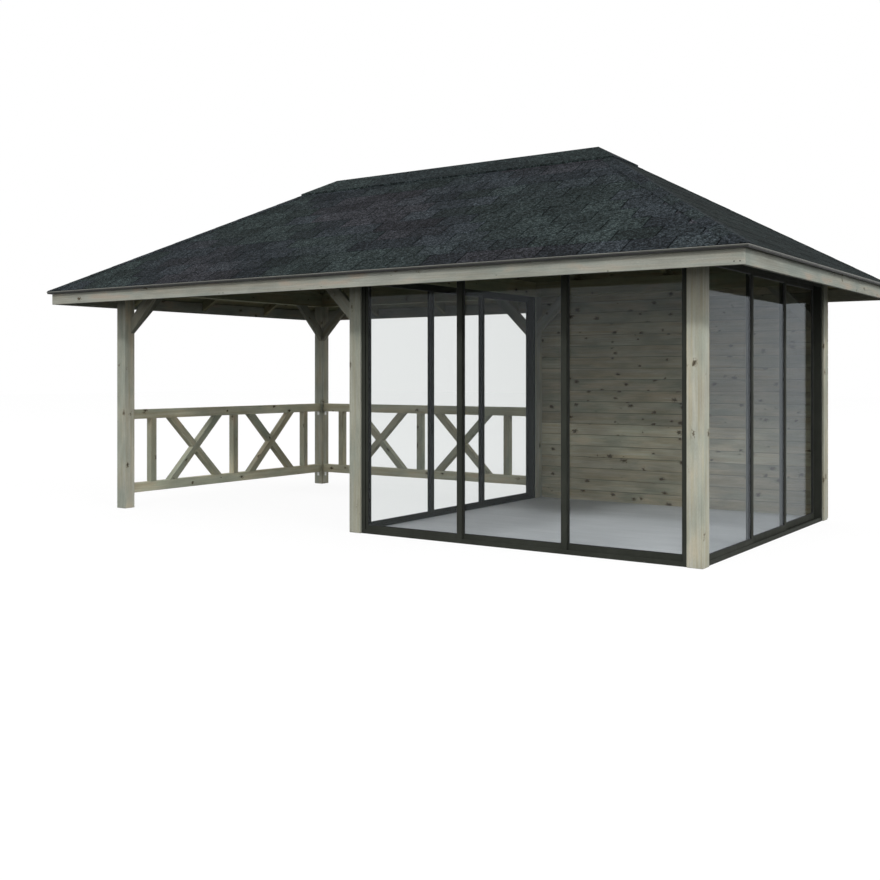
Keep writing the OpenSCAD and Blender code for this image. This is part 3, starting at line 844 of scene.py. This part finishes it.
def rafter_rings(side, places):
    """Rafters down a slope, from the ridge board or a hip to the fascia, notched over the beam.

    The underside runs level where it would cut into the beam. Where a rafter starts at a hip,
    each of its sides starts where that side meets the hip rafter's face.
    """
    half_ridge = SLOPES[side][1]
    half = RAFTER_THICKNESS / 2
    sides = np.array([half, half, -half, -half])
    under_ridge = RIDGE_Z - BOARD_DROP - RAFTER_RISE
    notch = (under_ridge - BEAM_TOP) / SLOPE
    outer = BACK_LINE + POST / 2
    along = np.asarray(places)[:, None] + sides
    hip_face = np.abs(along) - half_ridge + half * math.sqrt(2)
    start = np.maximum(hip_face, half if half_ridge else 0.0)
    further = (np.full_like(start, fall) for fall in (notch, outer, outer, RAFTER_REACH))
    fall = np.stack([start, *further], axis=1)
    under = under_ridge - SLOPE * fall
    under[:, 2] = BEAM_TOP
    upper = RIDGE_Z - BOARD_DROP - SLOPE * fall
    is_top = np.array([False, True, True, False])
    rings = on_slope(side, fall, along[:, None], 0.0)
    rings[..., 2] = np.where(is_top, upper, under)
    way, sideways = down(side)
    return stack(rings, way, sideways)


long_places = RAFTER_SPACING * np.arange(-2.5, 3.0)
end_places = RAFTER_SPACING * np.arange(-1.0, 1.5)
rafters = [rafter_rings(side, long_places if SLOPES[side][1] else end_places) for side in SLOPES]
place("rafter_timbers", rafters, roof_timber, ["rafters"])


def hip_rafter(end, side):
    """A hip rafter whose top is backed to both slopes, notched over the corner of the beams."""
    way, across, hip_slope = hip_ways(end, side)
    half = RAFTER_THICKNESS / 2
    top_level = RIDGE_Z - BOARD_DROP
    under_level = top_level - HIP_RISE
    notch = (under_level - BEAM_TOP) / hip_slope
    outer = (BACK_LINE + POST / 2) * math.sqrt(2)
    run = np.array([half * math.sqrt(2), notch, outer, outer, RAFTER_REACH * math.sqrt(2) - half])
    under = under_level - hip_slope * run
    under[2] = BEAM_TOP
    spread = np.array([-half, 0.0, half, half, -half])
    upper = top_level - hip_slope * (run[:, None] + np.abs(spread))
    height = np.where(np.array([True, True, True, False, False]), upper, under[:, None])
    plan = end * RIDGE_HALF * X + run[:, None, None] * way + spread[:, None] * across
    rings = (plan + height[..., None] * Z)[None]
    return stack(rings, way - hip_slope * Z, across)


hip_rafters = [hip_rafter(*hip) for hip in HIPS]
place("hip_rafter_timbers", hip_rafters, roof_timber, ["hip_rafters"])

ridge_top = RIDGE_Z - BOARD_DROP - SLOPE * RAFTER_THICKNESS / 2
ridge_foot = RIDGE_Z - BOARD_DROP - HIP_RISE
ridge_middle = (ridge_top + ridge_foot) / 2
ridge_size = (RAFTER_THICKNESS, ridge_top - ridge_foot)
ridge_board = level_bar(-RIDGE_HALF, RIDGE_HALF, 0.0, ridge_middle, ridge_size)
place("ridge_board_timber", [ridge_board], roof_timber, ["ridge_board"])


# The roof's edge
FASCIA_TOP = RIDGE_Z - BOARD_DROP - SLOPE * FASCIA_Y
fascia_middle = (FASCIA_TOP + FASCIA_FOOT) / 2
fascia_size = (FASCIA_THICKNESS, FASCIA_TOP - FASCIA_FOOT)
fascia_line = FASCIA_Y - FASCIA_THICKNESS / 2
for row, line in (("front", -fascia_line), ("back", fascia_line)):
    board = level_bar(-FASCIA_X, FASCIA_X, line, fascia_middle, fascia_size)
    place(f"{row}_fascia_timber", [board], fascia_timber, [f"{row}_fascia"])
side_line = FASCIA_X - FASCIA_THICKNESS / 2
side_boards = [
    bars([x, -RAFTER_REACH, fascia_middle], [x, RAFTER_REACH, fascia_middle], X, fascia_size)
    for x in (-side_line, side_line)
]
place("side_fascia_timbers", side_boards, fascia_timber, ["side_fascias"])

# Screws in the fascias: distance along the fascia from its middle, and height
FRONT_SCREWS = [
    (3.432, 2.053),
    (3.471, 2.053),
    (2.557, 2.037),
    (-0.223, 2.037),
    (-1.114, 2.046),
    (-1.163, 2.046),
]
RIGHT_SCREWS = [(-0.02, 2.06)]
SCREW_HEAD = 0.008
SCREW_RISE = 0.001
SCREW_ROUND = 0.0004
screw_spots = [(np.array([x, -FASCIA_Y, z]), -Y) for x, z in FRONT_SCREWS]
screw_spots += [(np.array([FASCIA_X, y, z]), X) for y, z in RIGHT_SCREWS]
head = (SCREW_HEAD, SCREW_HEAD)
screws = [bars(spot, spot + SCREW_RISE * way, Z, head, SCREW_ROUND) for spot, way in screw_spots]
place("fascia_screws", screws, dark_screw, [])

drip_high = corners("drip_strip")[1]
DRIP_THICKNESS = 0.004
DRIP_ROUND = 0.0012
BEAD_DROP = 0.004
BEAD_HEIGHT = 0.005
STRIP_HEIGHT = 0.008
STRIP_INSET = 0.002
# The lowest strip, below the drip edge, is black: painted shade over the fascia's top
SHADE_STRIP_INSET = 0.005
SHADE_STRIP_HEIGHT = 0.009


def edge_ring(inset, foot, top):
    """Four mitred bars round the roof's edge, set back from the outermost line by an inset."""
    x, y = drip_high[:2] - DRIP_THICKNESS / 2 - inset
    starts = np.array([[-x, -y], [x, -y], [x, y], [-x, y]])
    starts = np.column_stack([starts, np.full(4, (foot + top) / 2)])
    ends = np.roll(starts, -1, axis=0)
    mitres = ((X + Y, X - Y), (X - Y, X + Y)) * 2
    size = (top - foot, DRIP_THICKNESS)
    return [bars(starts[i], ends[i], Z, size, DRIP_ROUND, mitres[i]) for i in range(4)]


bead_top = drip_high[2] - BEAD_DROP
bead_foot = bead_top - BEAD_HEIGHT
strip_foot = bead_foot - STRIP_HEIGHT
shade_strip_foot = strip_foot - SHADE_STRIP_HEIGHT
# The drip edge's top bead is painted pale, a painted highlight, above the grey strip
place("drip_bead", edge_ring(0.0, bead_foot, bead_top), painted_highlight_zinc, ["drip_strip"])
place("drip_edge", edge_ring(STRIP_INSET, strip_foot, bead_foot), grey_zinc, [])
# A black strip under the drip edge: painted shade in the gap above the fascia
place("painted_shade_edge", edge_ring(SHADE_STRIP_INSET, shade_strip_foot, strip_foot), rubber, [])


# Balustrades: rails painted much paler than the posts, painted light for the light that they lack
# in the shade of the roof; the lower one is painted paler than the upper
RAIL_HUE = 0.1
RAIL_PAINTED_LIGHT_TONES = (1.60, 1.30)
UPRIGHT_TONE = 0.75
CROSS_TONE = 0.7


def balustrade(start, end, rails_node, infill_node, label):
    """Two rails, three uprights and two crosses; one bar of each cross runs through the other."""
    start, end = np.array(start, float), np.array(end, float)
    way = (end - start) / np.linalg.norm(end - start)
    across = np.cross(Z, way)
    span = np.linalg.norm(end - start)
    rails_low, rails_high = corners(rails_node)
    infill_foot, infill_top = rails_low[2] + RAIL_HEIGHT, rails_high[2] - RAIL_HEIGHT
    size = (RAIL_THICKNESS, RAIL_HEIGHT)
    heights = (rails_low[2] + RAIL_HEIGHT / 2, rails_high[2] - RAIL_HEIGHT / 2)
    rails = [
        bars(start + z * Z, end + z * Z, across, size, hue=RAIL_HUE, tone=tone)
        for z, tone in zip(heights, RAIL_PAINTED_LIGHT_TONES)
    ]
    place(f"{label}_rail_timbers", rails, rail_timber, [rails_node])
    middle = (start + end) / 2
    first = span / 2 - UPRIGHT_GAP - RAIL_THICKNESS / 2
    feet = middle + np.array([-first, 0.0, first])[:, None] * way + infill_foot * Z
    heads = feet + (infill_top - infill_foot) * Z
    square = (RAIL_THICKNESS, RAIL_THICKNESS)
    uprights = bars(feet, heads, way, square, tone=UPRIGHT_TONE)
    half_height = (infill_top - infill_foot) / 2
    crosses = []
    for panel in (-1, 1):
        centre = middle + panel * first / 2 * way + (infill_foot + half_height) * Z
        rising, falling = half_height * (way + Z), half_height * (way - Z)
        clear = RAIL_THICKNESS / 2 * (way - Z) / math.sqrt(2)
        for from_centre, to_centre, cuts in (
            (-rising, rising, (Z, Z)),
            (-falling, -clear, (Z, None)),
            (clear, falling, (None, Z)),
        ):
            bar_ends = centre + from_centre, centre + to_centre
            crosses.append(bars(*bar_ends, across, square, cuts=cuts, tone=CROSS_TONE))
    place(f"{label}_infill_timbers", [uprights, *crosses], rail_timber, [infill_node])


def bracket(corner, way):
    """A steel angle: one leg hangs down the post from the corner, the other runs under the rail."""
    corner, across = np.array(corner, float), np.cross(Z, way)
    half = BRACKET_THICKNESS / 2
    hanging = corner + half * way
    lying = corner - half * Z
    size = (BRACKET_WIDTH, BRACKET_THICKNESS)
    leg_round, head_round = 0.001, 0.0009
    legs = [
        bars(hanging - BRACKET_LEG * Z, hanging, across, size, leg_round),
        bars(lying + BRACKET_THICKNESS * way, lying + BRACKET_LEG * way, across, size, leg_round),
    ]
    head, rise = (0.009, 0.009), 0.002
    for step in (0.016, 0.034):
        on_post = corner + BRACKET_THICKNESS * way - step * Z
        under_rail = corner - BRACKET_THICKNESS * Z + step * way
        legs.append(bars(on_post, on_post + rise * way, across, head, head_round))
        legs.append(bars(under_rail, under_rail - rise * Z, across, head, head_round))
    return legs


left_rail_ends = np.array([[-BAY, inner_front, 0], [-BAY, -inner_front, 0]])
back_rail_ends = np.array([[-BAY + POST / 2, BACK_LINE, 0], [-POST / 2, BACK_LINE, 0]])
balustrade(*left_rail_ends, "left_rails", "left_infill", "left")
balustrade(*back_rail_ends, "back_rails", "back_infill", "back")
rail_low, rail_high = corners("left_rails")
brackets = []
for foot in (rail_low[2], rail_high[2] - RAIL_HEIGHT):
    for (start, end), way in ((left_rail_ends, Y), (back_rail_ends, X)):
        brackets += bracket(start + foot * Z, way) + bracket(end + foot * Z, -way)
place("rail_angle_brackets", brackets, bright_zinc, ["rail_brackets"])


# The room's back wall and floor
wall_low, wall_high = corners("back_wall")
wall_joints = np.append(np.arange(wall_low[2], wall_high[2] - LEAST_BOARD, WALL_BOARD), wall_high[2])
wall_line = (wall_low[1] + wall_high[1]) / 2
WALL_ROUND = 0.002
PALE_BOARDS = (0.45, 0.75)
PALE_STEP = 0.65
TONGUE_HALF = 0.008
TONGUE_DEPTH = 0.005
TONGUE_SHADE_TONE = -0.6


def wall_bar(low, high, depth, hue, tone):
    """A bar along the whole wall between two heights."""
    middle, size = (low + high) / 2, (depth, high - low)
    ends = wall_low[0], wall_high[0]
    return level_bar(*ends, wall_line, middle, size, WALL_ROUND, hue=hue, tone=tone)


def board_tone(height):
    """A board's tone: drawn at random, and paler between two heights."""
    return rng.uniform(0.30, 0.60) + PALE_STEP * (PALE_BOARDS[0] < height < PALE_BOARDS[1])


half_joint = WALL_JOINT / 2
wall_depth = wall_high[1] - wall_low[1]
wall_boards = [
    wall_bar(low + half_joint, high - half_joint, wall_depth, rng.uniform(), board_tone(low))
    for low, high in zip(wall_joints[:-1], wall_joints[1:])
]
# Strips in the joints between the boards, painted dark: painted shade in the joints
wall_boards += [
    wall_bar(joint - TONGUE_HALF, joint + TONGUE_HALF, TONGUE_DEPTH, 0.5, TONGUE_SHADE_TONE)
    for joint in wall_joints[1:-1]
]
place("wall_boards", wall_boards, wall_timber, ["back_wall"])

floor_low, floor_high = corners("room_floor")
floor_count = round((floor_high[1] - floor_low[1]) / FLOOR_BOARD)
floor_joints = np.linspace(floor_low[1], floor_high[1], floor_count + 1)
post_inset = POST / 2 - floor_low[0]
floor_middle = (floor_low[2] + floor_high[2]) / 2
floor_boards = []
for near, far in zip(floor_joints[:-1], floor_joints[1:]):
    beside_posts = far > BACK_LINE - POST / 2
    inset = post_inset if beside_posts else 0.0
    ends = floor_low[0] + inset, floor_high[0] - inset
    size = (far - near, floor_high[2] - floor_low[2])
    floor_boards.append(level_bar(*ends, (near + far) / 2, floor_middle, size, FLOOR_ROUND))
place("floor_boards", floor_boards, pale_floor, ["room_floor"])


# Sliding doors
def door_set(label, along, outward):
    """The fixed frame of three sliding leaves: jambs, and a sill and a head with lips and runners."""
    low, high = corners(f"{label}_tracks")
    middle = (low + high) / 2
    depth = abs((high - low) @ outward)
    span = (high - low) @ along
    base = middle - middle[2] * Z

    def rail(offset, z_low, z_high, thickness, inset):
        """A bar along the door set, off its middle by offset, between two heights."""
        centre = base + offset * outward + (z_low + z_high) / 2 * Z
        reach = (span / 2 - inset) * along
        size = (thickness, z_high - z_low)
        return bars(centre - reach, centre + reach, outward, size, FRAME_ROUND / 2)

    lip_line = depth / 2 - LIP_THICKNESS / 2
    top = high[2]
    sill_top, head_foot = TRACK_THICKNESS, top - TRACK_THICKNESS
    pieces = [rail(0.0, 0.0, sill_top, depth, 0.0), rail(0.0, head_foot, top, depth, 0.0)]
    for offset in (-lip_line, lip_line):
        for lip_foot in (sill_top, head_foot - LIP_HEIGHT):
            pieces.append(rail(offset, lip_foot, lip_foot + LIP_HEIGHT, LIP_THICKNESS, JAMB_WIDTH))
    for track in (-1, 0, 1):
        pieces.append(rail(track * TRACK_PITCH, sill_top, RUNNER_TOP, RUNNER_WIDTH, JAMB_WIDTH))
    place(f"{label}_track_bars", pieces, anthracite, [f"{label}_tracks"])

    jamb_line = (span - JAMB_WIDTH) / 2 * along
    jambs = [
        bars(foot + sill_top * Z, foot + head_foot * Z, along, (JAMB_WIDTH, depth), FRAME_ROUND)
        for foot in (base - jamb_line, base + jamb_line)
    ]
    place(f"{label}_jamb_bars", jambs, anthracite, [f"{label}_jambs"])


def ring_of_bars(low, high, along, outward, widths, depth, radius):
    """Four bars round a rectangle: two sides, then a foot and a head between them.

    widths are those of the near side, the far side, the foot and the head, measured inwards.
    """
    near, far, foot, head = widths
    middle = (low + high) / 2
    half_span = (high - low) @ along / 2
    base = middle - middle[2] * Z
    made = []
    for distance, width in ((near / 2 - half_span, near), (half_span - far / 2, far)):
        line = base + distance * along
        made.append(bars(line + low[2] * Z, line + high[2] * Z, along, (width, depth), radius))
    for height, thickness in ((low[2] + foot / 2, foot), (high[2] - head / 2, head)):
        start = base + (near - half_span) * along + height * Z
        end = base + (half_span - far) * along + height * Z
        made.append(bars(start, end, outward, (depth, thickness), radius))
    return made


def leaf(label, along, outward):
    """One sliding leaf: a frame of four bars, a rubber gasket round the pane and the pane itself."""
    frame_node, glass_node = f"{label}_frame", f"{label}_glass"
    low, high = corners(frame_node)
    pane_low, pane_high = corners(glass_node)
    depth = abs((high - low) @ outward)
    below, above = pane_low - low, high - pane_high
    widths = (below @ along, above @ along, below[2], above[2])
    frame_bars = ring_of_bars(low, high, along, outward, widths, depth, FRAME_ROUND)
    place(f"{label}_frame_bars", frame_bars, anthracite, [frame_node], label)
    rubber_size = ((GASKET_WIDTH,) * 4, GASKET_DEPTH, GASKET_ROUND)
    gasket = ring_of_bars(pane_low, pane_high, along, outward, *rubber_size)
    place(f"{label}_gasket", gasket, rubber, [], label)
    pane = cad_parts[glass_node]
    for slot in pane.material_slots:
        slot.material = clear_glass


for label, along, outward in (("front", X, -Y), ("partition", Y, X), ("right", Y, X)):
    door_set(label, along, outward)
    for number in (1, 2, 3):
        leaf(f"{label}_leaf_{number}", along, outward)


# Camera, at the height of someone standing in front of the room's outer corner
CAMERA_PLACE = (5.804, -8.736, 1.334)
CAMERA_TURN = math.radians(34.5)
PICTURE_SIZE = 880
HORIZON_ROW = 374.78
FOCAL_PIXELS = 1089.6
camera_data = bpy.data.cameras.new("camera")
camera_data.sensor_width = 36.0
camera_data.lens = 36.0 * FOCAL_PIXELS / PICTURE_SIZE
camera_data.shift_y = (HORIZON_ROW - PICTURE_SIZE / 2) / PICTURE_SIZE
camera_data.clip_end = 500.0
camera = add("camera", camera_data)
camera.location = CAMERA_PLACE
camera.rotation_euler = (math.radians(90), 0.0, CAMERA_TURN)
scene.camera = camera


# Light: a sky that is brightest at the horizon, and two long soft lamps at the front and the right
SKY_AT_HORIZON = 1.75
SKY_AT_ZENITH = 0.45
KEY_LIGHT = 1.31
KEY_TURNS = (math.radians(12), math.radians(78))
KEY_HEIGHT = math.radians(38.5)
KEY_DISTANCE = 40.0
KEY_SIZE = (22.0, 2.6)
WHITE = (1.0, 1.0, 1.0, 1.0)
world = bpy.data.worlds.new("studio")
scene.world = world
world.use_nodes = True
sky = Nodes(world.node_tree)
direction = sky.node("TexCoord").outputs["Generated"]
height = sky.node("SeparateXYZ", {0: direction}).outputs["Z"]
glow_level = sky.between(height, 0.0, 1.0, SKY_AT_HORIZON, SKY_AT_ZENITH, "LINEAR")
background = sky.tree.nodes["Background"]
sky.join(background, "Color", WHITE)
sky.join(background, "Strength", sky.between(sky.seen(), 0.0, 1.0, glow_level, 1.0, "LINEAR"))

for number, turn in enumerate(KEY_TURNS):
    key_data = bpy.data.lights.new(f"key_{number}", "AREA")
    key_data.shape = "RECTANGLE"
    key_data.size, key_data.size_y = KEY_SIZE
    key_data.energy = KEY_LIGHT * math.pi * KEY_DISTANCE**2
    key = add(f"key_{number}", key_data)
    level_way = math.sin(turn) * X - math.cos(turn) * Y
    key.location = KEY_DISTANCE * (math.cos(KEY_HEIGHT) * level_way + math.sin(KEY_HEIGHT) * Z)
    key.rotation_euler = (math.pi / 2 - KEY_HEIGHT, 0.0, turn)
    key.visible_camera = False
    key.visible_glossy = False


# Ground: white for the camera, with part of the shadow that falls on it
GROUND_HALF = 60.0
GROUND_LEVEL = -0.001
GROUND_SHADOW = 0.08
GROUND_BOUNCE = 0.06
ground_mesh = bpy.data.meshes.new("ground")
ground_corners = GROUND_HALF * np.array([[-1, -1], [1, -1], [1, 1], [-1, 1]])
ground_points = np.column_stack([ground_corners, np.full(4, GROUND_LEVEL)])
ground_mesh.from_pydata(ground_points.tolist(), [], [(0, 1, 2, 3)])
ground = add("ground", ground_mesh)
ground_finish = Finish("ground_white")
ground_seen = ground_finish.seen()
bounce = (GROUND_BOUNCE, GROUND_BOUNCE, GROUND_BOUNCE, 1.0)
ground_finish.coat(ground_finish.mix(ground_seen, bounce, (0.97, 0.97, 0.97, 1.0)), 0.9)
glow = ground_finish.node("Emission", {"Color": WHITE, "Strength": 1.0}).outputs[0]
glow_share = ground_finish.product(ground_seen, 1.0 - GROUND_SHADOW)
lit = ground_finish.surface.outputs[0]
shown = ground_finish.node("MixShader", {0: glow_share, 1: lit, 2: glow})
ground_mesh.materials.append(ground_finish.show(shown))

scene.view_settings.view_transform = "Standard"
